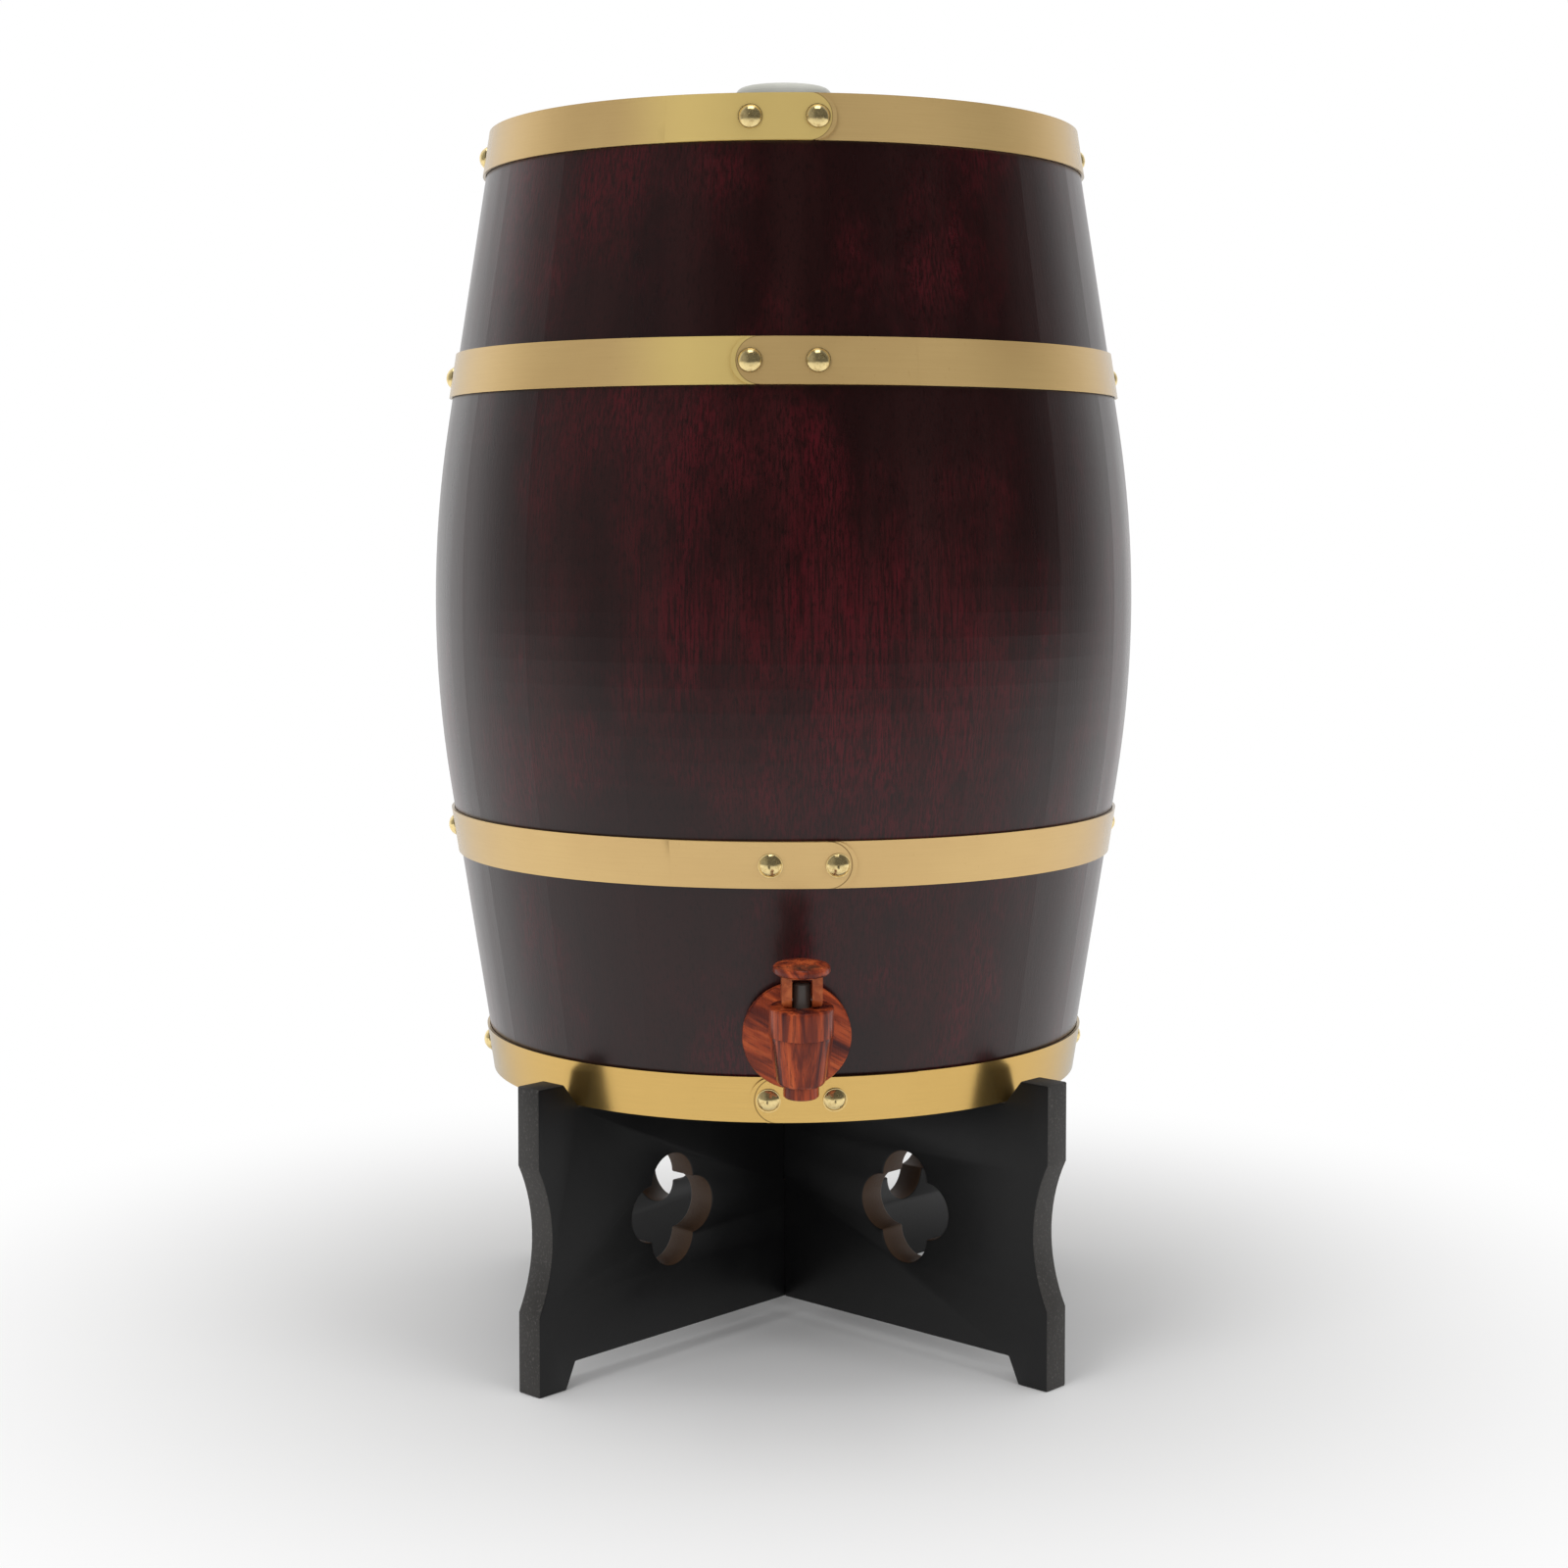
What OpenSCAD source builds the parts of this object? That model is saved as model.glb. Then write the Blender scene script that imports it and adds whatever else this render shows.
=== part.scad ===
// Oak cask drink dispenser: coopered cask on a crossed stand, with a lever tap.
// Origin on the floor under the cask's axis. +Z is up and the tap faces -Y.

/* [Cask] */
// Height of the cask over its stave ends
cask_h = 337; // [280:1:400]
// Outside diameter of the staves at the belly
belly_d = 252.6; // [220:0.2:290]
// Height of the bulged middle band
belly_band = 128; // [100:1:160]
// Lean of the straight stave ends from the vertical, in degrees
stave_lean = 8.9; // [6:0.1:11]
// Number of staves
stave_n = 20; // [18:1:24]
// Thickness of a stave
stave_t = 13; // [11:0.5:15]
// Bevel on the inside edge of the stave ends
chime_bevel = 3; // [1:0.5:4]

/* [Heads] */
// Distance from the stave ends to the outer face of each head
chime_depth = 6; // [4:0.5:10]
// Thickness of a head
head_t = 10; // [8:0.5:12]
// Depth of the croze groove that holds a head
croze_depth = 4; // [2.5:0.5:5]
// Height of the croze groove and of the tongue in it
croze_w = 5; // [4:0.5:6]
// Number of boards in a head
head_boards = 3; // [3:2:5]
// Diameter of the fill hole in the top head
fill_d = 26; // [20:1:34]

/* [Stopper] */
// Diameter of the stopper's head
stopper_d = 35; // [30:1:42]
// Height of the stopper's head above the top board
stopper_h = 23.5; // [15:0.5:28]
// Rounding of the stopper's top edge
stopper_edge = 3; // [1:0.5:5]
// Length of the stopper's plug below the top board's face
stopper_plug = 18; // [12:1:24]
// Narrowing of the plug's radius along its length
stopper_taper = 1.2; // [0.5:0.1:2]

/* [Hoops] */
// Width of a hoop
hoop_w = 15.6; // [12:0.2:20]
// Thickness of the hoop strip
hoop_t = 1; // [0.8:0.1:1.6]
// Distance from the cask's middle to the nearer edge of an inner hoop
hoop_mid = 73.6; // [60:0.2:85]
// Turn of the laps of the two upper hoops from the tap, in degrees
upper_lap_turn = -2.1; // [-3:0.1:3]
// Turn of the laps of the two lower hoops from the tap, in degrees
lower_lap_turn = 1; // [-3:0.1:3]
// Distance between the two nails of a lap
lap_pitch = 21.8; // [16:0.2:24]
// Diameter of a nail's domed head
nail_d = 8; // [6:0.2:9]
// Height of a nail's domed head
nail_h = 2.6; // [1.5:0.1:3.2]
// Diameter of a nail's shank
nail_shank_d = 1.8; // [1.4:0.1:2.2]
// Length of a nail's shank under the head
nail_l = 8; // [6:0.5:9]

/* [Stand] */
// Height of the edges that the cask rests on
rest_h = 96; // [80:1:130]
// Thickness of the stand's boards
board_t = 10.6; // [8:0.2:14]
// Height of the horns above the rest edges
horn_h = 8.5; // [5:0.5:14]
// Width of a horn's flat top
horn_w = 11.7; // [8:0.1:16]
// Sideways run of a horn's sloped inner side
horn_run = 6.9; // [4:0.1:9]
// Width of a foot on the floor
foot_w = 12.3; // [9:0.1:18]
// Height of a foot under the board's lower edge
foot_h = 9; // [6:0.5:14]
// Sideways run of a foot's sloped inner side
foot_run = 4.2; // [2:0.1:8]
// Radius of a lobe of a cut-out
lobe_r = 9.9; // [7:0.1:11]
// Distance from the middle of a cut-out to the middle of a lobe
lobe_out = 9.8; // [7:0.1:11]
// Height of the hollow in a board's end
recess_h = 50; // [36:1:56]
// Depth of the hollow in a board's end
recess_depth = 6; // [3:0.5:8]

/* [Tap body] */
// Height of the middle of the flange's back above the bottom head
tap_rise = 14.4; // [13:0.2:40]
// Lean of the tap from the vertical, in degrees
tap_tilt = 5; // [0:0.5:9]
// Diameter of the flange
flange_d = 35.8; // [30:0.2:40]
// Thickness of the flange
flange_t = 2.5; // [2:0.1:4]
// Distance from the flange's back to the body's axis
tap_reach = 33.5; // [28:0.5:40]
// Diameter of the neck between flange and body
neck_d = 14; // [12:0.5:16]
// Diameter of the threaded shank
shank_d = 15; // [13:0.5:18]
// Diameter of the waterway through the shank
waterway_d = 6; // [4:0.5:7]
// Diameter of the body under the bonnet
body_top_d = 19; // [16:0.2:20]
// Diameter of the body above the spout's shoulder
body_low_d = 15.6; // [13:0.2:17]
// Ledge on each side where the back of the body is wider
web_rim = 0.6; // [0.3:0.1:1]
// Diameter of the spout ring
spout_d = 11.4; // [10:0.2:13]
// Diameter of the spout's bore
spout_bore = 7; // [5:0.2:8]
// Length of the spout ring
spout_l = 3.9; // [3:0.1:7]
// Height of the shoulder between body and spout ring
shoulder_h = 1.9; // [1:0.1:3]
// Distance from the tap's centre line down to the shoulder
body_drop = 4.6; // [3:0.1:6]
// Distance from the tap's centre line up to the bonnet's lower rim
bonnet_rise = 9.7; // [8:0.1:13]
// Diameter of the chamber in the body
chamber_d = 10.4; // [9:0.2:11]

/* [Bonnet, stem and lever] */
// Outside diameter of the bonnet
bonnet_d = 20.5; // [19:0.1:24]
// Height of the bonnet
bonnet_h = 9.2; // [8:0.1:12]
// Thickness of the bonnet's top
bonnet_top = 2; // [1.5:0.1:3]
// Diameter of the stem
stem_d = 6; // [5:0.1:7]
// Diameter of the lever pin
pin_d = 2; // [1.5:0.1:2.4]
// Height of the lever pin above the bonnet
pin_rise = 2.3; // [2:0.1:3]
// Height that the lever lifts the stem at the end of its travel
stem_lift = 2; // [1:0.1:2.5]
// End of the lever's travel, in degrees from upright
lever_travel = 65; // [40:1:65]
// Distance over both arms of the lever
fork_w = 12.8; // [11:0.1:15]
// Distance between the lever's arms
fork_gap = 6.4; // [6.2:0.1:7.4]
// Height of the arms from the bonnet to the bar between them
fork_h = 9.7; // [8:0.1:13]
// Thickness of the bar between the arms
fork_bar = 1; // [0.6:0.1:2]
// Diameter of the lever's round paddle
paddle_d = 18; // [15:0.2:22]
// Thickness of the paddle's rim
paddle_t = 2.6; // [2:0.1:4]
// Height of the paddle's domed top above its rim
paddle_dome = 1; // [0.5:0.1:2]

/* [Fits] */
// Gap between hoops and staves, and between tongues and croze floors
seat_gap = 0.2; // [0.1:0.05:0.3]
// Least gap between the cask's bottom hoop and the horns
horn_gap = 1.3; // [0.8:0.1:3]
// Gap on each side of a board in the crossed halving
halving_gap = 0.1; // [0.05:0.05:0.3]
// Gap round the shank in its stave
shank_gap = 0.3; // [0.2:0.1:0.6]
// Gap between rubber rings and the staves
rubber_gap = 0.2; // [0.1:0.05:0.4]
// Gap round the stopper's plug at the mouth of the fill hole
plug_gap = 0.3; // [0.2:0.1:0.6]
// Running gap of stem and pin in their holes
run_gap = 0.06; // [0.03:0.01:0.09]
// Gap of the seal cup over its seat
seal_gap = 0.25; // [0.2:0.05:0.5]
// Gap between the lever's cams and the bonnet
cam_gap = 0.1; // [0.05:0.05:0.2]

/* [Hidden] */
$fn = 96;
fine_fn = 360;
eps = 0.01;

// Stave profile: a belly arc that runs tangent into straight ends
half_h = cask_h / 2;
half_band = belly_band / 2;
belly_arc_r = half_band / sin(stave_lean);
band_r = belly_d / 2 - belly_arc_r * (1 - cos(stave_lean));
arc_steps = 8;
function stave_r(dz) = abs(dz) < half_band
    ? belly_d / 2 - belly_arc_r + sqrt(pow(belly_arc_r, 2) - dz * dz)
    : band_r - tan(stave_lean) * (abs(dz) - half_band);
function belly_dz(k) = belly_arc_r * sin(stave_lean * k / arc_steps);
cask_z = rest_h + half_h;
stave_a = 360 / stave_n;

// Heads and croze grooves, as distances from the cask's middle
head_dz = half_h - chime_depth - head_t / 2;
groove_in = head_dz - croze_w / 2;
groove_out = head_dz + croze_w / 2;
head_r = stave_r(head_dz) - stave_t;
mouth_r = stave_r(groove_out) - stave_t;
head_bevel = (head_t - croze_w) / 2;
board_w = 2 * (head_r + croze_depth) / head_boards;
top_face_z = cask_z + half_h - chime_depth;

// Hoops: distance of the nearer edge from the cask's middle, above or below it,
// turn of the lap and the side of the lap's free end
hoop_end = half_h - hoop_w;
top_hoop = [hoop_end, 1, upper_lap_turn, 1];
upper_hoop = [hoop_mid, 1, upper_lap_turn, -1];
lower_hoop = [hoop_mid, -1, lower_lap_turn, 1];
bottom_hoop = [hoop_end, -1, lower_lap_turn, -1];
hoops = [top_hoop, upper_hoop, lower_hoop, bottom_hoop];
lap_run_a = 26;
lap_step_a = 4;
lap_margin = 4.6;
lap_inset = 0.1;
nail_gap = 0.05;
nail_base = 0.4;
front_a = -90;

// Stand: cut-outs and hollowed ends are centred on the height of the boards
horn_foot = stave_r(half_h) + seat_gap + hoop_t + horn_gap;
stand_l = horn_foot + horn_run + horn_w;
cut_s = stand_l / 2;
recess_r = (pow(recess_h / 2, 2) + pow(recess_depth, 2)) / (2 * recess_depth);
board_mid_z = (rest_h + foot_h) / 2;

// Tap: the flange's back clears the staves by a gasket at its upper edge
tap_z = rest_h + chime_depth + head_t + tap_rise;
gasket_min = 1;
gasket_d = flange_d - 2;
flange_back = stave_r(tap_z + flange_d / 2 - cask_z) + gasket_min - flange_d / 2 * sin(tap_tilt);
inner_wall_y = (flange_back - stave_r(tap_z - cask_z) + stave_t) / cos(tap_tilt);
gasket_blank = 10;
washer_d = 24;
washer_t = 3.4;
washer_dish = 4;
nut_af = 21;
nut_t = 7;
shank_end = 1;
shank_l = inner_wall_y + washer_t + nut_t + shank_end;
thread_gap = 0.1;
bonnet_top_z = bonnet_rise + bonnet_h;
bonnet_wall = 1.9;
spigot_r = bonnet_d / 2 - bonnet_wall - thread_gap;
spigot_z = bonnet_top_z - bonnet_top - thread_gap;
web_t = 4;
web_low_z = 0.5 - body_drop;
chamber_floor = -body_drop - 0.2;
seat_drop = 1.5;
spout_end_z = -body_drop - shoulder_h - spout_l;
spout_edge = 0.4;
shoulder_steps = 6;

// Stem and seal cup
pin_z = bonnet_top_z + pin_rise;
stem_head = 5.6;
stem_foot_z = -1;
tip_r = 2;
seal_r = chamber_d / 2 - 0.6;
seal_low_z = chamber_floor - seat_drop + 1.5 * seal_gap;
seal_rim_z = seal_low_z + (seal_r - spout_bore / 2) * seat_drop / (chamber_d - spout_bore) * 2;

// Lever: the front of each cam is drawn so that the lift keeps in step with the turn
lift_rate = stem_lift / lever_travel;
cam_low = pin_rise - cam_gap;
cam_step = 6;
cam_back = 3.6;
arm_corner = 2.2;
bar_z = fork_h - pin_rise;
paddle_z = bar_z + fork_bar;
paddle_edge = 0.6;
dome_r = (pow(paddle_d / 2 - paddle_edge, 2) + pow(paddle_dome, 2)) / (2 * paddle_dome);

stave_names = [for (i = [1 : stave_n]) str("stave_", i < 10 ? "0" : "", i)];
head_names = [for (end = ["top", "bottom"], i = [1 : head_boards]) str(end, "_head_board_", i)];

wood_colour = [0.24, 0.09, 0.08];
brass_colour = [0.80, 0.66, 0.38];
black_colour = [0.08, 0.08, 0.09];
rosewood_colour = [0.46, 0.18, 0.11];
rubber_colour = [0.10, 0.10, 0.10];

// Places

// Puts a solid drawn about the cask's middle at its height
module at_cask() {
    translate([0, 0, cask_z]) children();
}

// Local frame of the tap: origin behind the flange, -Y out of the cask, +Z up its body
module at_tap() {
    translate([0, -flange_back, tap_z]) rotate([tap_tilt, 0, 0]) children();
}

// Local frame on the axis of the tap's body
module at_tap_axis() {
    at_tap() translate([0, -tap_reach, 0]) children();
}

// Cask

// Whole profile between the cask's axis and a line set off from the staves' outside
module cask_profile(off = 0, extra = 0) {
    outside = concat(
        [[stave_r(half_h + extra) + off, -half_h - extra]],
        [for (k = [-arc_steps : arc_steps]) [stave_r(belly_dz(k)) + off, belly_dz(k)]],
        [[stave_r(half_h + extra) + off, half_h + extra]]);
    polygon(concat([[0, -half_h - extra]], outside, [[0, half_h + extra]]));
}

module groove_profile(side) {
    translate([mouth_r - 1, side > 0 ? groove_in : -groove_out])
        square([head_r + croze_depth - mouth_r + 1, croze_w]);
}

module chime_profile(side) {
    inner_r = stave_r(half_h) - stave_t;
    polygon([[inner_r - 1, side * (half_h + 1)],
             [inner_r + chime_bevel + 1, side * (half_h + 1)],
             [inner_r - 1, side * (half_h - chime_bevel - 1)]]);
}

module stave_profile() {
    difference() {
        cask_profile();
        cask_profile(off = -stave_t, extra = 1);
        for (side = [-1, 1]) {
            groove_profile(side);
            chime_profile(side);
        }
    }
}

// Pilot holes of the nails that lie within one stave
module nail_holes(mid_a) {
    for (h = hoops, a = nail_angles(h))
        if (abs(turn_between(front_a + a, mid_a)) < stave_a / 2)
            at_nail(h, a) nail_hole();
}

function turn_between(a, b) = (a - b + 540) % 360 - 180;

module stave(i) {
    mid_a = front_a + (i - 1) * stave_a;
    color(wood_colour)
        difference() {
            at_cask() rotate([0, 0, mid_a - stave_a / 2])
                rotate_extrude(angle = stave_a) stave_profile();
            nail_holes(mid_a);
            if (i == 1)
                at_tap() rotate([-90, 0, 0]) translate([0, 0, -1])
                    cylinder(d = shank_d + 2 * shank_gap, h = inner_wall_y + stave_t);
        }
}

module head_disc() {
    full_r = mouth_r - seat_gap - head_bevel;
    tongue_r = head_r + croze_depth - seat_gap;
    rotate_extrude()
        polygon([[0, -head_t / 2], [full_r, -head_t / 2], [full_r + head_bevel, -croze_w / 2],
                 [tongue_r, -croze_w / 2], [tongue_r, croze_w / 2],
                 [full_r + head_bevel, croze_w / 2], [full_r, head_t / 2], [0, head_t / 2]]);
}

// One board of a head: side is 1 for the top head and -1 for the bottom one
module head_board(i, side) {
    reach = head_r + croze_depth + 1;
    low_x = i == 1 ? -reach : (i - 1 - head_boards / 2) * board_w;
    high_x = i == head_boards ? reach : (i - head_boards / 2) * board_w;
    color(wood_colour)
        at_cask() translate([0, 0, side * head_dz])
            difference() {
                intersection() {
                    head_disc();
                    translate([low_x, -reach, -head_t]) cube([high_x - low_x, 2 * reach, 2 * head_t]);
                }
                if (side > 0 && i == (head_boards + 1) / 2)
                    translate([0, 0, -head_t]) cylinder(d = fill_d, h = 2 * head_t);
            }
}

// Hoops

function hoop_mid_dz(h) = h[1] * (h[0] + hoop_w / 2);
function hoop_r(h) = stave_r(hoop_mid_dz(h)) + seat_gap + hoop_t;
function nail_angles(h) = [h[2] - lap_a(h), h[2] + lap_a(h), 90, 180, 270];

// Section of a hoop strip against the staves: the lap is a little narrower and sinks into the ring
module hoop_section(h, inset = 0) {
    low_dz = h[0] + inset;
    high_dz = h[0] + hoop_w - inset;
    low_r = stave_r(low_dz) + seat_gap;
    high_r = stave_r(high_dz) + seat_gap;
    polygon([[low_r - inset, h[1] * low_dz], [low_r + hoop_t, h[1] * low_dz],
             [high_r + hoop_t, h[1] * high_dz], [high_r - inset, h[1] * high_dz]]);
}

// Rise of the lap over the ring at an angle from the lap's middle, towards its free end
function lap_a(h) = asin(lap_pitch / 2 / hoop_r(h));
function lap_tip_a(h) = asin((lap_pitch / 2 + lap_margin) / hoop_r(h));
function lap_shift(h) = hoop_t / sin(lap_run_a + lap_tip_a(h));
function lap_rise(h, a) = abs(a) > lap_run_a ? 0 : lap_shift(h) * sin(lap_run_a + a);

// The strip's outer end lies on the ring, is round at its tip and runs down into the ring
module hoop_lap(h) {
    round_a = asin((lap_pitch / 2 + lap_margin - hoop_w / 2) / hoop_r(h));
    rotate([0, 0, front_a + h[2]]) mirror([0, h[3] > 0 ? 0 : 1, 0])
        translate(lap_shift(h) * [sin(lap_run_a), cos(lap_run_a), 0]) {
            rotate([0, 0, lap_step_a - lap_run_a])
                rotate_extrude(angle = lap_run_a - lap_step_a + round_a) hoop_section(h, lap_inset);
            rotate([0, 0, round_a])
                intersection() {
                    rotate_extrude(angle = lap_run_a) hoop_section(h, lap_inset);
                    translate([0, 0, hoop_mid_dz(h)]) rotate([0, 90, 0])
                        cylinder(d = hoop_w + 0.3, h = belly_d);
                }
        }
}

module hoop(h) {
    color(brass_colour)
        difference() {
            at_cask() union() {
                rotate_extrude() hoop_section(h);
                hoop_lap(h);
            }
            for (a = nail_angles(h)) at_nail(h, a) nail_hole();
        }
}

// Nails

// Place of a nail: its head rests on the hoop and its shank points inwards
module at_nail(h, a) {
    seat_r = hoop_r(h) + lap_rise(h, h[3] * (a - h[2])) + nail_gap;
    at_cask() rotate([0, 0, front_a + a]) translate([seat_r, 0, hoop_mid_dz(h)])
        rotate([0, 90 - h[1] * stave_lean, 0]) children();
}

module nail_hole() {
    translate([0, 0, -nail_l - 0.5]) cylinder(d = nail_shank_d + 2 * nail_gap, h = nail_l + 3);
}

module nail() {
    dome_base_r = nail_d / 2 - 0.2;
    dome_h = nail_h - nail_base;
    ball_r = (pow(dome_base_r, 2) + pow(dome_h, 2)) / (2 * dome_h);
    cylinder(d = nail_d, h = nail_base);
    translate([0, 0, -nail_l]) cylinder(d = nail_shank_d, h = nail_l + nail_base);
    rotate_extrude()
        intersection() {
            translate([0, nail_h - ball_r]) circle(ball_r);
            translate([0, nail_base - eps]) square([dome_base_r, dome_h + 1]);
        }
}

module nails(h) {
    color(brass_colour)
        for (a = nail_angles(h)) at_nail(h, a) nail();
}

// Stopper

module stopper() {
    cap_r = stopper_d / 2;
    plug_r = fill_d / 2 - plug_gap;
    color("whitesmoke")
        translate([0, 0, top_face_z])
            rotate_extrude()
                polygon(concat(
                    [[0, -stopper_plug], [plug_r - stopper_taper - 1, -stopper_plug],
                     [plug_r - stopper_taper, -stopper_plug + 1], [plug_r, 0], [cap_r, 0]],
                    [for (a = [0 : 15 : 90]) [cap_r - stopper_edge * (1 - cos(a)),
                                             stopper_h - stopper_edge * (1 - sin(a))]],
                    [[0, stopper_h]]));
}

// Stand

module board_half_outline() {
    difference() {
        polygon([[-eps, foot_h], [stand_l - foot_w - foot_run, foot_h], [stand_l - foot_w, 0],
                 [stand_l, 0], [stand_l, rest_h + horn_h], [stand_l - horn_w, rest_h + horn_h],
                 [horn_foot, rest_h], [-eps, rest_h]]);
        translate([stand_l + recess_r - recess_depth, board_mid_z]) circle(recess_r);
        translate([cut_s, board_mid_z])
            for (a = [0 : 90 : 270]) rotate(a) translate([lobe_out, 0]) circle(lobe_r);
    }
}

// A board of the stand, halved from above or from below where the other one crosses it
module stand_board(turn, slot_z) {
    slot_w = board_t + 2 * halving_gap;
    color(black_colour)
        rotate([0, 0, turn])
            difference() {
                rotate([90, 0, 0]) linear_extrude(height = board_t, center = true) {
                    board_half_outline();
                    mirror([1, 0]) board_half_outline();
                }
                translate([-slot_w / 2, -board_t, slot_z]) cube([slot_w, 2 * board_t, rest_h]);
            }
}

// Tap

// A ring round the shank, between two distances behind the flange
module shank_ring(d, from_y, to_y) {
    translate([0, from_y, 0]) rotate([-90, 0, 0])
        difference() {
            cylinder(d = d, h = to_y - from_y);
            translate([0, 0, -1]) cylinder(d = shank_d + 2 * thread_gap, h = to_y - from_y + 2);
        }
}

module tap_outside() {
    low_r = body_low_d / 2;
    ring_r = spout_d / 2;
    rotate_extrude()
        polygon(concat(
            [[0, spout_end_z], [ring_r - spout_edge, spout_end_z], [ring_r, spout_end_z + spout_edge]],
            [for (k = [0 : shoulder_steps])
                [ring_r + (low_r - ring_r) * sin(90 * k / shoulder_steps),
                 -body_drop - shoulder_h * cos(90 * k / shoulder_steps)]],
            [[body_top_d / 2, bonnet_rise], [spigot_r, bonnet_rise],
             [spigot_r, spigot_z], [0, spigot_z]]));
}

// Wider back of the body, between it and the neck
module tap_web() {
    low_w = body_low_d / 2 + web_rim;
    translate([0, web_t, 0]) rotate([90, 0, 0]) linear_extrude(height = web_t)
        polygon([[-low_w, web_low_z], [low_w, web_low_z],
                 [bonnet_d / 2, bonnet_rise], [-bonnet_d / 2, bonnet_rise]]);
}

module tap_flange() {
    edge = 0.6;
    flange_r = flange_d / 2;
    rotate([90, 0, 0])
        rotate_extrude()
            polygon([[0, 0], [flange_r, 0], [flange_r, flange_t - edge],
                     [flange_r - edge / 3, flange_t - edge / 3], [flange_r - edge, flange_t],
                     [0, flange_t]]);
}

module tap_body() {
    color(rosewood_colour)
        difference() {
            union() {
                at_tap() {
                    tap_flange();
                    rotate([90, 0, 0]) cylinder(d = neck_d, h = tap_reach);
                    rotate([-90, 0, 0]) translate([0, 0, -eps]) cylinder(d = shank_d, h = shank_l);
                }
                at_tap_axis() {
                    tap_outside();
                    tap_web();
                }
            }
            at_tap() rotate([-90, 0, 0]) translate([0, 0, -tap_reach])
                cylinder(d = waterway_d, h = tap_reach + shank_l + 1);
            at_tap_axis() rotate_extrude()
                polygon([[0, spout_end_z - 1], [spout_bore / 2, spout_end_z - 1],
                         [spout_bore / 2, chamber_floor - seat_drop], [chamber_d / 2, chamber_floor],
                         [chamber_d / 2, spigot_z + 1], [0, spigot_z + 1]]);
        }
}

// Outer rubber ring, pressed to the staves and to the bottom hoop
module tap_gasket() {
    hoop_out_r = seat_gap + 2 * hoop_t + rubber_gap;
    color(rubber_colour)
        difference() {
            at_tap() shank_ring(gasket_d, 0, gasket_blank);
            at_cask() rotate_extrude($fn = fine_fn) cask_profile(off = rubber_gap);
            at_cask() rotate_extrude($fn = fine_fn)
                polygon([[0, -half_h - 1], [stave_r(half_h) + hoop_out_r, -half_h - 1],
                         [stave_r(hoop_end) + hoop_out_r, -hoop_end + rubber_gap],
                         [0, -hoop_end + rubber_gap]]);
        }
}

module tap_inner_washer() {
    color(rubber_colour)
        intersection() {
            at_tap() shank_ring(washer_d, inner_wall_y - washer_dish, inner_wall_y + washer_t);
            at_cask() rotate_extrude($fn = fine_fn) cask_profile(off = -stave_t - rubber_gap);
        }
}

module tap_nut() {
    color(rosewood_colour)
        at_tap() translate([0, inner_wall_y + washer_t, 0]) rotate([-90, 0, 0])
            difference() {
                rotate([0, 0, 30]) cylinder(d = nut_af / cos(30), h = nut_t, $fn = 6);
                translate([0, 0, -1]) cylinder(d = shank_d + 2 * thread_gap, h = nut_t + 2);
            }
}

module tap_bonnet() {
    edge = 0.5;
    outer_r = bonnet_d / 2;
    hole_r = stem_d / 2 + run_gap;
    color(rosewood_colour)
        at_tap_axis() rotate_extrude()
            polygon([[spigot_r + thread_gap, bonnet_rise], [outer_r, bonnet_rise],
                     [outer_r, bonnet_top_z - edge], [outer_r - edge, bonnet_top_z],
                     [hole_r, bonnet_top_z], [hole_r, bonnet_top_z - bonnet_top],
                     [spigot_r + thread_gap, bonnet_top_z - bonnet_top]]);
}

module pin_hole(r) {
    rotate([0, 90, 0]) cylinder(r = r, h = 2 * fork_w, center = true);
}

module tap_stem() {
    stem_r = stem_d / 2;
    color([0.13, 0.12, 0.12])
        at_tap_axis() difference() {
            rotate_extrude()
                polygon([[0, seal_low_z + 0.6], [tip_r, seal_low_z + 0.6], [tip_r, stem_foot_z],
                         [stem_r, stem_foot_z], [stem_r, pin_z + stem_head - 0.5],
                         [stem_r - 0.5, pin_z + stem_head], [0, pin_z + stem_head]]);
            translate([0, 0, pin_z]) pin_hole(pin_d / 2 + run_gap);
        }
}

module tap_seal_cup() {
    color("whitesmoke")
        at_tap_axis() rotate_extrude()
            polygon([[0, seal_low_z], [spout_bore / 2, seal_low_z], [seal_r, seal_rim_z],
                     [seal_r, stem_foot_z], [tip_r + run_gap, stem_foot_z],
                     [tip_r + run_gap, seal_low_z + 0.6], [0, seal_low_z + 0.6]]);
}

// Side of a cam: flat at rest, then a curve whose distance below the pin grows with the turn
function cam_point(a) =
    let (low = cam_low + lift_rate * a, slope = lift_rate * 180 / PI)
        [-low * sin(a) - slope * cos(a), -low * cos(a) + slope * sin(a)];

module lever_side() {
    front = cam_point(90);
    polygon(concat([[cam_back, -cam_low + 1], [cam_back - 1, -cam_low]],
                   [for (a = [0 : cam_step : 90]) cam_point(a)],
                   [[front[0], paddle_z + eps], [cam_back, paddle_z + eps]]));
}

module lever_front() {
    half_w = fork_w / 2;
    difference() {
        union() {
            translate([-half_w, arm_corner - cam_low]) square([fork_w, paddle_z + eps + cam_low - arm_corner]);
            for (side = [-1, 1])
                translate([side * (half_w - arm_corner), arm_corner - cam_low]) circle(arm_corner);
            translate([arm_corner - half_w, -cam_low]) square([fork_w - 2 * arm_corner, arm_corner]);
        }
        translate([-fork_gap / 2, -cam_low - 1]) square([fork_gap, bar_z + cam_low + 1]);
    }
}

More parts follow.
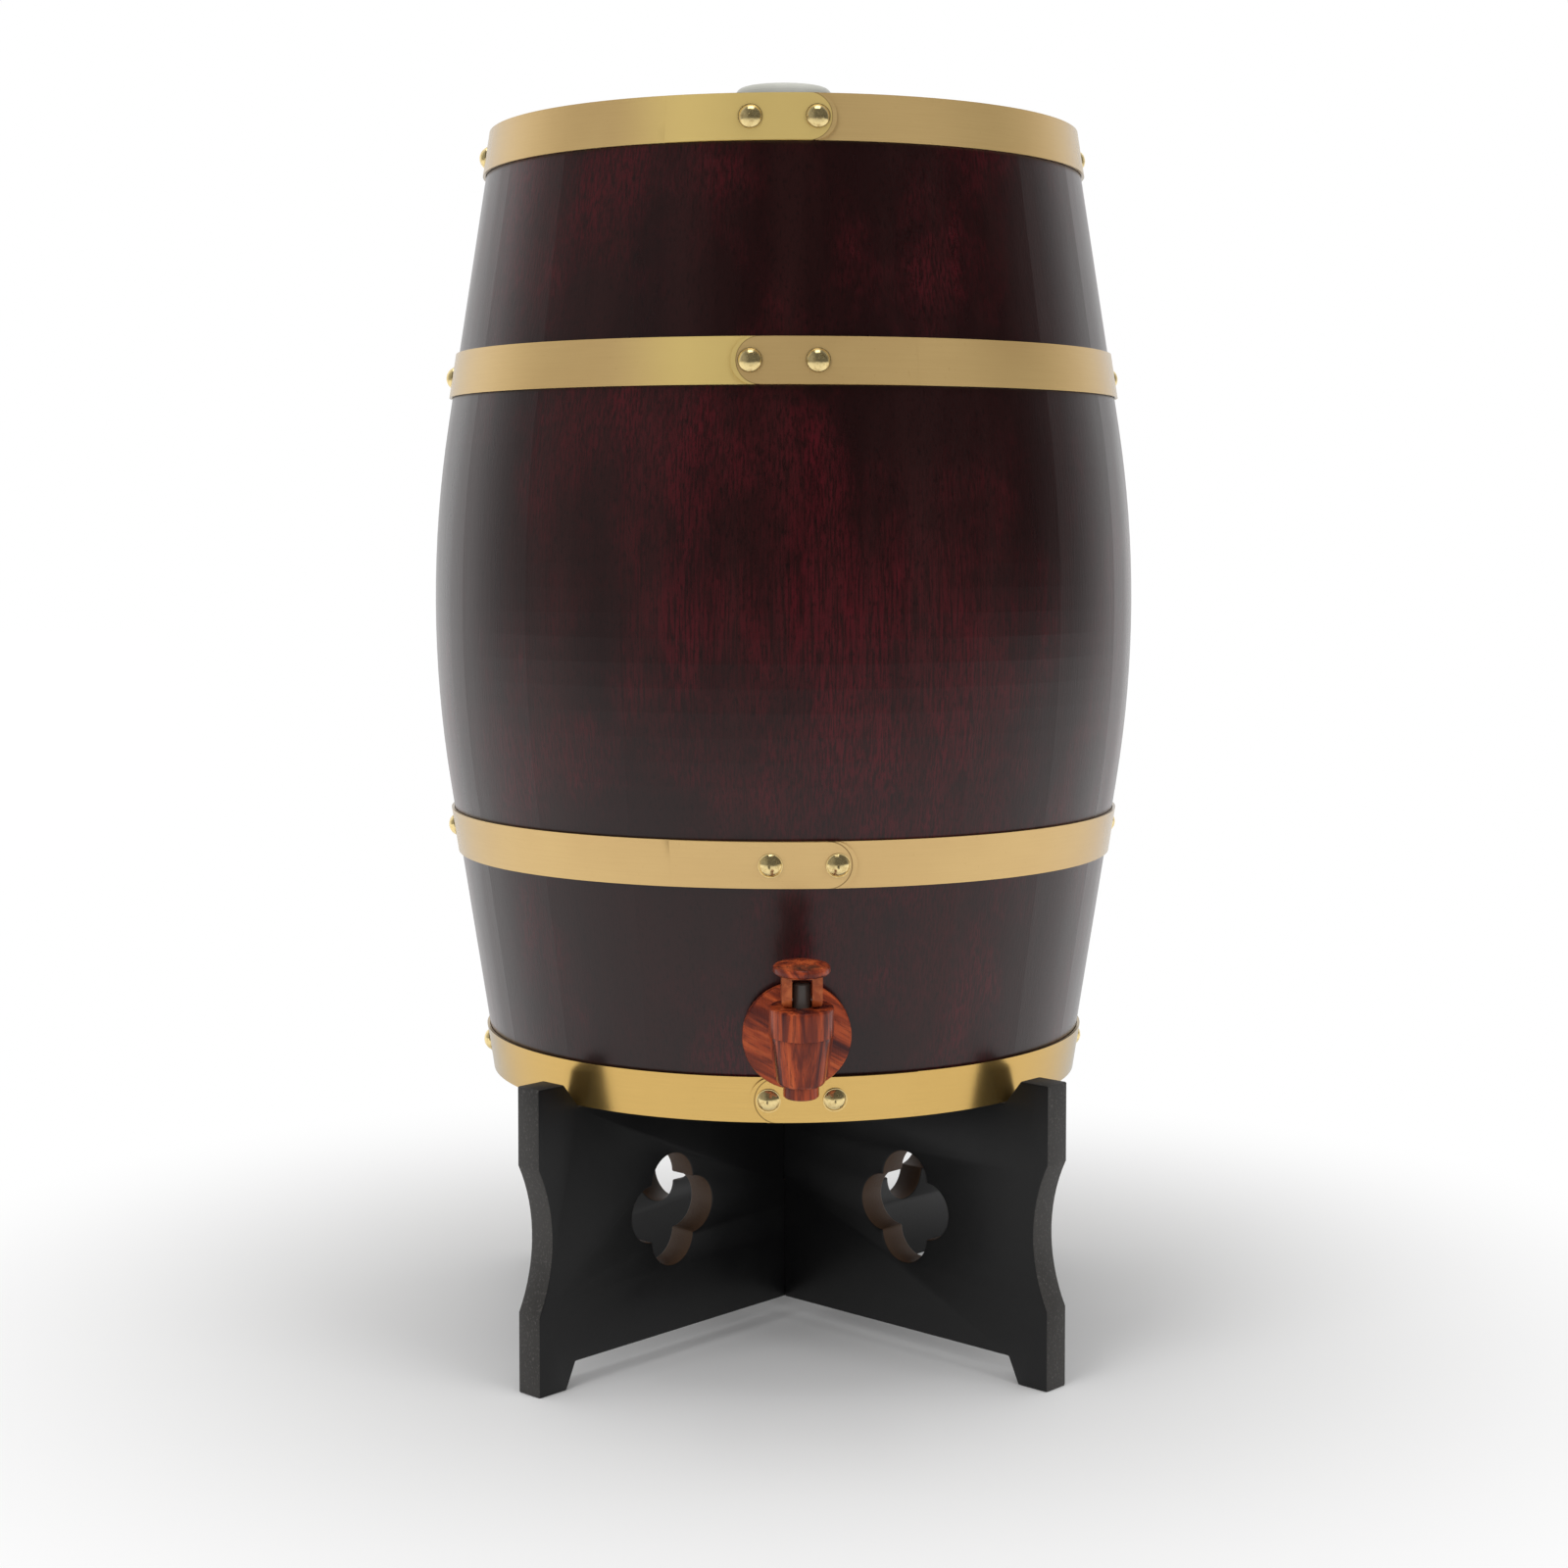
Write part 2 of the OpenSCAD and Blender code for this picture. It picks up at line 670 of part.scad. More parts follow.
module tap_paddle() {
    r = paddle_d / 2;
    dome_a = asin((r - paddle_edge) / dome_r);
    translate([0, 0, paddle_z]) rotate_extrude()
        polygon(concat([[0, 0], [r - paddle_edge, 0], [r, paddle_edge], [r, paddle_t - paddle_edge]],
                       [for (k = [6 : -1 : 0]) [dome_r * sin(dome_a * k / 6),
                                                paddle_t + paddle_dome - dome_r * (1 - cos(dome_a * k / 6))]]));
}

module tap_lever() {
    color(rosewood_colour)
        at_tap_axis() translate([0, 0, pin_z]) {
            difference() {
                intersection() {
                    rotate([90, 0, 90]) linear_extrude(height = 2 * fork_w, center = true) lever_side();
                    rotate([90, 0, 0]) linear_extrude(height = 4 * fork_w, center = true) lever_front();
                }
                pin_hole(pin_d / 2 + run_gap);
            }
            tap_paddle();
        }
}

module tap_lever_pin() {
    color("silver")
        at_tap_axis() translate([0, 0, pin_z]) rotate([0, 90, 0])
            cylinder(d = pin_d, h = fork_w - 1, center = true);
}

for (i = [1 : stave_n])
    stave(i);
for (i = [1 : head_boards]) {
    head_board(i, 1);
    head_board(i, -1);
}
hoop(top_hoop);  // hoop_top
hoop(upper_hoop);  // hoop_upper
hoop(lower_hoop);  // hoop_lower
hoop(bottom_hoop);  // hoop_bottom
nails(top_hoop);  // nails_top
nails(upper_hoop);  // nails_upper
nails(lower_hoop);  // nails_lower
nails(bottom_hoop);  // nails_bottom
stopper();
stand_board(45, board_mid_z);  // stand_board_left
stand_board(-45, board_mid_z - rest_h);  // stand_board_right
tap_body();
tap_gasket();
tap_inner_washer();
tap_nut();
tap_bonnet();
tap_stem();
tap_seal_cup();
tap_lever();
tap_lever_pin();
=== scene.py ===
"""Looks for the oak cask drink dispenser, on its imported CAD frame.

Metres, +Z up, the tap faces -Y.
"""

import math

import bmesh
import bpy
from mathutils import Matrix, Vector


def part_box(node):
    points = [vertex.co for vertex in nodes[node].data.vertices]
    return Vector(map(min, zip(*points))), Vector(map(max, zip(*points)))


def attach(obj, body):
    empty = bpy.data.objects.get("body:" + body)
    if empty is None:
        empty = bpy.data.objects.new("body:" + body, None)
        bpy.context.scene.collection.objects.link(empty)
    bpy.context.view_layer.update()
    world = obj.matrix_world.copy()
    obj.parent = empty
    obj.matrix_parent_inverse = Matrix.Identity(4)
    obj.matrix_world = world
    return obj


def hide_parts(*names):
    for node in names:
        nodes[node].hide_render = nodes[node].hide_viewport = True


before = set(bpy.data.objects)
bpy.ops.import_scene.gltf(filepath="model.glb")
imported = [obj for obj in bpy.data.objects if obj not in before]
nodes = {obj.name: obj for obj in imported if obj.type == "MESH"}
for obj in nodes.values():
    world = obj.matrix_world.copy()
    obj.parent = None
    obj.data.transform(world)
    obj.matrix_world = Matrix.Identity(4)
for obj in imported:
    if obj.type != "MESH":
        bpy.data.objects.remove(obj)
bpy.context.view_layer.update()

# Heights of the cask: where it rests, its middle, and a place between its two upper hoops
rest_z = 0.096
cask_mid_z = rest_z + 0.1685
upper_gap_z = 0.385

# From the cask's middle to its heads' inner faces, its end hoops and its bilge hoops
head_inner_dz = 0.1525
end_hoop_dz = 0.1607
bilge_hoop_dz = 0.0814

# The round end of a lap: how far its middle is from the lap's middle, and its radius
lap_round_x = 0.0077
lap_round_r = 0.0079

# Each hoop's height, its lap's turn about the cask, and the side of the lap's round end
upper_lap_turn = math.radians(-2.1)
lower_lap_turn = math.radians(1)
lap_ends = [
    (cask_mid_z + end_hoop_dz, upper_lap_turn, 1),
    (cask_mid_z + bilge_hoop_dz, upper_lap_turn, -1),
    (cask_mid_z - bilge_hoop_dz, lower_lap_turn, 1),
    (cask_mid_z - end_hoop_dz, lower_lap_turn, -1),
]

# The tap's own axes start at the back of its flange: their tilt, and places along and up them
tap_origin = Vector((0, -0.1119585, 0.1264))
tap_tilt = math.radians(5)
tap_upright = (-tap_tilt, 0, 0)
flange_front = 0.0025
neck_end = -0.0238
arms_top = 0.0295

# The stand: its boards' turn, and the cut-outs' height, half height and farthest reach
board_turn = math.radians(45)
board_mid_z = 0.0525
cut_out_half = 0.025
cut_out_reach = 0.1

# Half the width of the lines where boards meet and of the painted shadow lines where laps end,
# and margins past CAD faces
hairline = 0.0002
head_margin = 0.0005
flange_margin = 0.0004

# Where the noise of the red patches starts, and the places between which a hoop's painted sheen
# comes in
red_origin = (0.9, 0.7, 0.1)
painted_sheen_from_x = (-0.062, -0.034)


# Node materials


def add_node(tree, kind, links, **settings):
    """A new node: links fills its inputs by name or number, from sockets or plain values."""
    node = tree.nodes.new(kind)
    for key, value in settings.items():
        setattr(node, key, value)
    for key, value in links.items():
        if isinstance(value, bpy.types.NodeSocket):
            tree.links.new(value, node.inputs[key])
        elif node.inputs[key].type == "RGBA":
            node.inputs[key].default_value = (*value, 1)
        else:
            node.inputs[key].default_value = value
    return node


class Finish:
    """A node material: a Principled shader, and helpers that add its pattern nodes."""

    def __init__(self, name, **values):
        self.material = bpy.data.materials.new(name)
        self.material.use_nodes = True
        self.tree = self.material.node_tree
        self.shader = self.tree.nodes["Principled BSDF"]
        for socket, value in values.items():
            self.shader.inputs[socket.replace("_", " ")].default_value = value

    def add(self, kind, links, **settings):
        return add_node(self.tree, kind, links, **settings)

    def coords(self, kind="Object"):
        return self.add("ShaderNodeTexCoord", {}).outputs[kind]

    def place(self, origin=(0, 0, 0), turn=(0, 0, 0), stretch=(1, 1, 1)):
        """Object coordinates about an origin, turned, and then stretched for a pattern."""
        moved = self.add(
            "ShaderNodeMapping",
            {"Vector": self.coords(), "Location": [-v for v in origin]},
        )
        turned = self.add(
            "ShaderNodeMapping", {"Vector": moved.outputs[0], "Rotation": turn}
        )
        return self.add(
            "ShaderNodeMapping", {"Vector": turned.outputs[0], "Scale": stretch}
        ).outputs[0]

    def noise(self, where, scale, detail=4.0, roughness=0.55, distortion=0.0):
        return self.add(
            "ShaderNodeTexNoise",
            {
                "Vector": where,
                "Scale": scale,
                "Detail": detail,
                "Roughness": roughness,
                "Distortion": distortion,
            },
        ).outputs[0]

    def ramp(self, value, *stops):
        """A colour ramp whose stops are (position, colour)."""
        node = self.add("ShaderNodeValToRGB", {0: value})
        elements = node.color_ramp.elements
        while len(elements) < len(stops):
            elements.new(1)
        for element, (position, colour) in zip(elements, stops):
            element.position = position
            element.color = (*colour, 1)
        return node.outputs[0]

    def span(self, value, low, high, to_low=0.0, to_high=1.0):
        """Takes low..high smoothly to to_low..to_high."""
        return self.add(
            "ShaderNodeMapRange",
            {0: value, 1: low, 2: high, 3: to_low, 4: to_high},
            interpolation_type="SMOOTHSTEP",
        ).outputs[0]

    def blend(self, share, a, b):
        """A colour that goes from a to b as share goes from 0 to 1."""
        return self.add(
            "ShaderNodeMix", {0: share, 6: a, 7: b}, data_type="RGBA"
        ).outputs[2]

    def maths(self, operation, a, b=0.0):
        return self.add("ShaderNodeMath", {0: a, 1: b}, operation=operation).outputs[0]

    def plus(self, a, b):
        return self.maths("ADD", a, b)

    def minus(self, a, b):
        return self.maths("SUBTRACT", a, b)

    def times(self, a, b):
        return self.maths("MULTIPLY", a, b)

    def larger(self, a, b):
        return self.maths("MAXIMUM", a, b)

    def below(self, a, b):
        """1 where a is less than b, and 0 elsewhere."""
        return self.maths("LESS_THAN", a, b)

    def above(self, a, b):
        """1 where a is more than b, and 0 elsewhere."""
        return self.maths("GREATER_THAN", a, b)

    def unsigned(self, a):
        return self.maths("ABSOLUTE", a)

    def axis(self, vector, name):
        return self.add("ShaderNodeSeparateXYZ", {0: vector}).outputs[name]

    def level(self, vector):
        """The vector without its height."""
        return self.add(
            "ShaderNodeVectorMath", {0: vector, 1: (1, 1, 0)}, operation="MULTIPLY"
        ).outputs[0]

    def length(self, vector):
        return self.add(
            "ShaderNodeVectorMath", {0: vector}, operation="LENGTH"
        ).outputs["Value"]

    def surface(self, colour, roughness, height, depth):
        """Links the patterns to the shader: colour, roughness, and a bump of that depth."""
        self.tree.links.new(colour, self.shader.inputs["Base Color"])
        self.tree.links.new(roughness, self.shader.inputs["Roughness"])
        bump = self.add("ShaderNodeBump", {"Height": height, "Distance": depth})
        self.tree.links.new(bump.outputs[0], self.shader.inputs["Normal"])
        return self.material


def inside_cask(wood):
    """1 on the staves' and heads' inner faces, which aren't lacquered, and 0 elsewhere."""
    where, facing = wood.coords(), wood.coords("Normal")
    outwards = wood.add(
        "ShaderNodeVectorMath", {0: facing, 1: wood.level(where)}, operation="DOT_PRODUCT"
    ).outputs["Value"]
    height = wood.minus(wood.axis(where, "Z"), cask_mid_z)
    to_middle = wood.times(
        wood.axis(facing, "Z"), wood.maths("SIGN", wood.times(height, -1.0))
    )
    inner = wood.larger(wood.below(outwards, -0.05), wood.above(to_middle, 0.9))
    between_heads = wood.below(wood.unsigned(height), head_inner_dz + head_margin)
    return wood.times(inner, between_heads)


def lacquered_wood(name, grain, joint_x=None):
    """Dark red-brown lacquer over grain along that axis, and raw oak inside the cask.

    A fine dark line is drawn where boards meet, at joint_x on either side.
    """
    dark, deep_red = (0.0128, 0.0025, 0.0026), (0.070, 0.0030, 0.0070)
    brown, pore_dark = (0.025, 0.0054, 0.0050), (0.006, 0.0016, 0.0016)
    joint_dark = (0.002, 0.001, 0.001)
    oak_dark, oak_light = (0.30, 0.18, 0.09), (0.46, 0.31, 0.17)
    wood = Finish(name, Specular_IOR_Level=0.34, Coat_Weight=0.22, Coat_Roughness=0.16)

    def drawn_out(share, origin=(0, 0, 0)):
        return wood.place(origin, stretch=[share if axis == grain else 1 for axis in "XYZ"])

    streaks = wood.noise(drawn_out(0.05), 1400, detail=5, roughness=0.65)
    bands = wood.noise(drawn_out(0.07), 60, detail=3)
    patches = wood.noise(drawn_out(0.7, red_origin), 15, detail=5, roughness=0.62)
    pores = wood.noise(drawn_out(0.3), 1300, detail=2)
    red = wood.span(patches, 0.43, 0.66)
    red = wood.times(red, wood.span(streaks, 0.38, 0.60, 0.12, 1.0))
    stain = wood.blend(red, dark, deep_red)
    stain = wood.blend(wood.span(bands, 0.35, 0.7, 0.0, 0.5), stain, brown)
    stain = wood.blend(wood.span(pores, 0.52, 0.72, 0.0, 0.6), stain, pore_dark)
    if joint_x:
        off = wood.minus(wood.unsigned(wood.axis(wood.coords(), "X")), joint_x)
        line = wood.below(wood.unsigned(off), hairline)
        stain = wood.blend(wood.times(line, 0.85), stain, joint_dark)
    oak = wood.blend(wood.span(streaks, 0.3, 0.7), oak_dark, oak_light)
    raw = inside_cask(wood)
    gloss = wood.span(bands, 0.3, 0.75, 0.27, 0.34)
    gloss = wood.plus(gloss, wood.times(raw, 0.3))
    relief = wood.plus(wood.times(streaks, 0.8), wood.times(pores, 0.2))
    return wood.surface(wood.blend(raw, stain, oak), gloss, relief, depth=0.00006)


def satin_brass(name, metallic, dark, light):
    """Rolled brass strip with lines along it, and a painted shadow line round the front of each
    lap's round end.

    The two upper hoops carry a painted sheen on their front, from their left quarter up to
    their laps.
    """
    worn = [0.87 * v for v in dark]
    # The dark seam colour is a painted shadow
    # The pale brass colour is a painted sheen
    speck, painted_lap_shadow, painted_sheen_colour = (0.44, 0.28, 0.10), (0.22, 0.13, 0.04), (1.0, 0.745, 0.26)
    brass = Finish(name, Metallic=metallic, Specular_Tint=(0.62, 0.72, 0.9, 1))
    lines = brass.noise(brass.place(stretch=(1, 1, 60)), 40, detail=4, roughness=0.6)
    clouds = brass.noise(brass.place(), 16, detail=3)
    specks = brass.noise(brass.place(), 900, detail=2)
    tone = brass.blend(brass.span(clouds, 0.3, 0.7), dark, light)
    tone = brass.blend(brass.span(lines, 0.35, 0.7, 0.0, 0.2), tone, worn)
    tone = brass.blend(brass.span(specks, 0.66, 0.8, 0.0, 0.3), tone, speck)
    where = brass.coords()
    front = brass.below(brass.axis(where, "Y"), 0.0)

    def from_lap_end(hoop_z, lap_turn, side):
        """Distance past the middle of a lap's round end, and from that middle."""
        turned = brass.place(turn=(0, 0, -lap_turn))
        past = brass.minus(brass.axis(turned, "X"), side * lap_round_x)
        past = brass.larger(brass.times(past, side), 0.0)
        off = brass.minus(brass.axis(turned, "Z"), hoop_z)
        square = brass.plus(brass.times(past, past), brass.times(off, off))
        return past, brass.maths("SQRT", square)

    strips = []
    for hoop_z, lap_turn, side in lap_ends:
        past, far = from_lap_end(hoop_z, lap_turn, side)
        strips.append(brass.below(far, lap_round_r))
        # Painted shadow: a thin dark line along the lap's round end, on the front of the cask
        # only
        lap_shadow_line = brass.below(brass.unsigned(brass.minus(far, lap_round_r)), hairline)
        lap_shadow_line = brass.times(brass.times(lap_shadow_line, front), brass.above(past, 0.0))
        tone = brass.blend(brass.times(lap_shadow_line, 0.75), tone, painted_lap_shadow)
    # Painted sheen: the front of the two upper hoops turns paler towards their laps
    height = brass.axis(where, "Z")
    on_top_hoop = brass.above(height, upper_gap_z)
    top = brass.times(strips[0], on_top_hoop)
    upper = brass.minus(brass.minus(1.0, strips[1]), on_top_hoop)
    upper = brass.times(brass.larger(upper, 0.0), brass.above(height, cask_mid_z))
    to_lap = brass.span(brass.axis(where, "X"), *painted_sheen_from_x)
    pale = brass.times(brass.times(brass.plus(top, upper), to_lap), front)
    tone = brass.blend(brass.times(pale, 0.85), tone, painted_sheen_colour)
    gloss = brass.span(clouds, 0.3, 0.7, 0.20, 0.27)
    return brass.surface(tone, gloss, lines, depth=0.00001)


def polished_brass():
    """Bright nail heads with small dents and tarnish."""
    bright, dull = (0.97, 0.77, 0.37), (0.60, 0.41, 0.15)
    brass = Finish("nail_brass", Metallic=0.9)
    dents = brass.noise(brass.place(), 260, detail=2)
    tarnish = brass.noise(brass.place(), 700, detail=4)
    tone = brass.blend(brass.span(tarnish, 0.45, 0.75, 0.0, 0.6), bright, dull)
    gloss = brass.span(tarnish, 0.35, 0.75, 0.13, 0.3)
    return brass.surface(tone, gloss, dents, depth=0.0002)


def black_paint(name, low, high, gloss, depth, speckle, cut_out_reflection=None):
    """Matt black paint over board, with paler specks, and a painted warm reflection on the
    cut-outs' walls.
    """
    speck = [min(1.0, 2.6 * v) for v in high]
    paint = Finish(name, Specular_IOR_Level=0.35)
    cloud = paint.noise(paint.place(), 22, detail=4)
    grit = paint.noise(paint.place(), 1100, detail=3, roughness=0.7)
    tone = paint.blend(paint.span(cloud, 0.3, 0.7), low, high)
    tone = paint.blend(paint.span(grit, 0.52, 0.75, 0.0, speckle), tone, speck)
    # The cut-outs' walls get a painted warm brown reflection
    if cut_out_reflection:
        where = paint.coords()
        reach = paint.length(paint.level(where))
        off = paint.unsigned(paint.minus(paint.axis(where, "Z"), board_mid_z))
        reflection_walls = paint.times(
            paint.below(reach, cut_out_reach), paint.below(off, cut_out_half)
        )
        tone = paint.blend(reflection_walls, tone, cut_out_reflection)
    rough = paint.span(cloud, 0.3, 0.7, gloss, gloss + 0.1)
    return paint.surface(tone, rough, grit, depth)


def rosewood(name):
    """Glossy plastic, and the maker of its printed rosewood grain."""
    streak = (0.055, 0.012, 0.010)
    plastic = Finish(name, Specular_IOR_Level=0.17, Coat_Weight=0.12, Coat_Roughness=0.06)

    def printed_grain(turn, offset):
        """Colour along the turned Z axis, from that offset in the noise, and fine streaks."""
        start = [o + v for o, v in zip(tap_origin, offset)]
        broad = plastic.noise(
            plastic.place(start, turn, (1, 1, 0.10)),
            205,
            detail=3,
            roughness=0.55,
            distortion=0.6,
        )
        fine = plastic.noise(
            plastic.place(start, turn, (1, 1, 0.06)), 1300, detail=4, roughness=0.7
        )
        tone = plastic.ramp(
            broad,
            (0.35, (0.050, 0.011, 0.011)),
            (0.46, (0.165, 0.028, 0.013)),
            (0.55, (0.35, 0.058, 0.018)),
            (0.70, (0.54, 0.112, 0.032)),
        )
        return plastic.blend(plastic.span(fine, 0.45, 0.68, 0.0, 0.68), tone, streak), fine

    return plastic, printed_grain


def glossed(plastic, colour, fine):
    """Finishes printed plastic in that colour, with the print's fine streaks as relief."""
    gloss = plastic.span(fine, 0.3, 0.8, 0.24, 0.36)
    return plastic.surface(colour, gloss, fine, depth=0.00002)


def upright_rosewood(name, offset):
    plastic, printed_grain = rosewood(name)
    return glossed(plastic, *printed_grain(tap_upright, offset))


def body_rosewood():
    """The body's grain is upright, its neck's lengthwise, and its flange's slanted."""
    plastic, printed_grain = rosewood("tap_rosewood")
    colour, fine = printed_grain(tap_upright, (0, 0, 0))
    lengthwise, _ = printed_grain((math.radians(90), 0, 0), (0.04, 0.01, 0.02))
    slanted, _ = printed_grain((0, math.radians(60), 0), (0.02, 0.03, 0.01))
    back = plastic.axis(plastic.place(tap_origin, tap_upright), "Y")
    colour = plastic.blend(plastic.above(back, neck_end), colour, lengthwise)
    on_flange = plastic.above(back, -flange_front - flange_margin)
    return glossed(plastic, plastic.blend(on_flange, colour, slanted), fine)


def lever_rosewood():
    """The paddle has the printed grain, and the arms under it are plain orange-brown."""
    arm_dark, arm_light = (0.26, 0.050, 0.014), (0.42, 0.108, 0.034)
    plastic, printed_grain = rosewood("lever_rosewood")
    colour, fine = printed_grain((0.4, 0.5, 0.3), (0.03, 0.02, 0.05))
    height = plastic.axis(plastic.place(tap_origin, tap_upright), "Z")
    cloud = plastic.noise(plastic.place(), 330, detail=3)
    arms = plastic.blend(plastic.span(cloud, 0.35, 0.65), arm_dark, arm_light)
    return glossed(plastic, plastic.blend(plastic.below(height, arms_top), colour, arms), fine)


def moulded(name, low, high, rough):
    """Plain moulded plastic or rubber with faint clouds and a fine texture."""
    plain = Finish(name)
    cloud = plain.noise(plain.place(), 55, detail=3)
    texture = plain.noise(plain.place(), 1440, detail=3)
    tone = plain.blend(plain.span(cloud, 0.3, 0.7), low, high)
    gloss = plain.span(cloud, 0.3, 0.7, rough, rough + 0.08)
    return plain.surface(tone, gloss, texture, depth=0.00002)


def turned_steel():
    """Steel pin with fine turning lines round it."""
    pin = Finish("pin_steel", Metallic=1.0)
    lines = pin.noise(pin.place(stretch=(0.1, 1, 1)), 1500, detail=2)
    tone = pin.blend(pin.span(lines, 0.3, 0.7), (0.50, 0.50, 0.51), (0.66, 0.66, 0.67))
    return pin.surface(tone, pin.span(lines, 0.3, 0.7, 0.22, 0.34), lines, depth=0.00001)


stave_wood = lacquered_wood("lacquered_wood", "Z")
head_wood = lacquered_wood("lacquered_heads", "Y", joint_x=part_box("top_head_board_2")[1][0])
hoop_brass = satin_brass("hoop_brass", 0.5, (0.71, 0.477, 0.198), (0.765, 0.530, 0.222))
low_brass = satin_brass("low_hoop_brass", 0.95, (0.73, 0.475, 0.150), (0.79, 0.520, 0.170))
nail_brass = polished_brass()
black_face = black_paint(
    "black_face",
    (0.0050, 0.0050, 0.0055),
    (0.0085, 0.0085, 0.0085),
    gloss=0.36,
    depth=0.00003,
    speckle=0.1,
)
black_edge = black_paint(
    "black_edge",
    (0.030, 0.028, 0.026),
    (0.048, 0.045, 0.042),
    gloss=0.5,
    depth=0.00012,
    speckle=0.7,
    # A painted warm brown reflection on the cut-outs' walls
    cut_out_reflection=(0.075, 0.042, 0.024),
)
silicone = moulded("white_silicone", (0.52, 0.52, 0.465), (0.57, 0.57, 0.515), 0.5)
rubber = moulded("black_rubber", (0.012, 0.012, 0.012), (0.02, 0.02, 0.02), 0.5)
stem_plastic = moulded("dark_plastic", (0.050, 0.040, 0.034), (0.075, 0.062, 0.054), 0.28)
body_wood = body_rosewood()
bonnet_wood = upright_rosewood("bonnet_rosewood", (0.011, 0.004, 0))
lever_wood = lever_rosewood()
nut_wood = upright_rosewood("nut_rosewood", (0.05, 0, 0.02))
steel = turned_steel()


# Pieces

# Edges that turn by more are eased, and those that turn by less are shaded smooth
sharp_turn = math.radians(32)
smooth_turn = math.radians(38)

# Vertices this close are one, and faces that turn by less are flat
same_place = 0.000002
flat_turn = math.radians(0.2)

# How far the edges are eased
board_ease = 0.0006
tap_ease = 0.0002
lever_ease = 0.00012


def finished(bm, name, body, replaced, materials):
    """Makes the mesh an object at the origin that rides on its body and takes its finishes."""
    bmesh.ops.recalc_face_normals(bm, faces=bm.faces)
    mesh = bpy.data.meshes.new(name)
    bm.to_mesh(mesh)
    bm.free()
    mesh.shade_smooth()
    mesh.set_sharp_from_angle(angle=smooth_turn)
    for material in materials:
        mesh.materials.append(material)
    piece = bpy.data.objects.new(name, mesh)
    bpy.context.scene.collection.objects.link(piece)
    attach(piece, body)
    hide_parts(replaced)
    return piece


def merged_copy(node):
    """A CAD node's mesh with its doubles merged and its flat faces whole."""
    bm = bmesh.new()
    bm.from_mesh(nodes[node].data)
    bmesh.ops.remove_doubles(bm, verts=bm.verts, dist=same_place)
    bmesh.ops.dissolve_limit(bm, angle_limit=flat_turn, verts=bm.verts, edges=bm.edges)
    return bm


def eased(node, radius, body, slot, *materials, segments=2):
    """A copy of a CAD node with its sharp edges rounded, which stands for that node."""
    bm = merged_copy(node)
    sharp = [e for e in bm.edges if len(e.link_faces) == 2 and e.calc_face_angle() > sharp_turn]
    bmesh.ops.bevel(
        bm,
        geom=sharp,
        offset=radius,
        offset_type="OFFSET",
        affect="EDGES",
        segments=segments,
        profile=0.5,
        material=-1,
        clamp_overlap=True,
    )
    return finished(bm, node + "_eased", body, node, materials)


def stand_board(node, turn):
    """A stand board with eased edges, whose sawn edges take the second finish."""
    piece = eased(node, board_ease, "stand", "black_wood", black_face, black_edge)
    across = Vector((-math.sin(turn), math.cos(turn), 0))
    for polygon in piece.data.polygons:
        polygon.material_index = 0 if abs(polygon.normal.dot(across)) > 0.75 else 1


def dress(finish, *names):
    """Gives CAD nodes a finish."""
    for name in names:
        mesh = nodes[name].data
        mesh.materials.clear()
        mesh.materials.append(finish)


dress(stave_wood, *[n for n in nodes if n.startswith("stave_")])
dress(head_wood, *[n for n in nodes if "head_board" in n])
dress(hoop_brass, *[n for n in nodes if n.startswith("hoop_")])
dress(low_brass, "hoop_bottom")
dress(nail_brass, *[n for n in nodes if n.startswith("nails_")])
dress(silicone, "stopper", "tap_seal_cup")
dress(rubber, "tap_gasket", "tap_inner_washer")
dress(stem_plastic, "tap_stem")
dress(steel, "tap_lever_pin")
dress(body_wood, "tap_body")
dress(bonnet_wood, "tap_bonnet")
dress(lever_wood, "tap_lever")
dress(nut_wood, "tap_nut")
dress(black_face, "stand_board_left", "stand_board_right")

stand_board("stand_board_left", board_turn)
stand_board("stand_board_right", -board_turn)
eased("tap_body", tap_ease, "cask", "rosewood_plastic", body_wood)
eased("tap_bonnet", tap_ease, "cask", "rosewood_plastic", bonnet_wood)
eased("tap_lever", lever_ease, "lever", "rosewood_plastic", lever_wood, segments=1)


# Studio: a pale floor, a white room that is dark behind the camera, and soft lamps

floor_radius = 6.0

# Directions and brightness of the room in gloss: from, to, brightness there and there
back_gloss = (-0.1, 0.95, 0.035, 1.0)
left_gloss = (-0.2, -0.9, 0.0, 0.2)


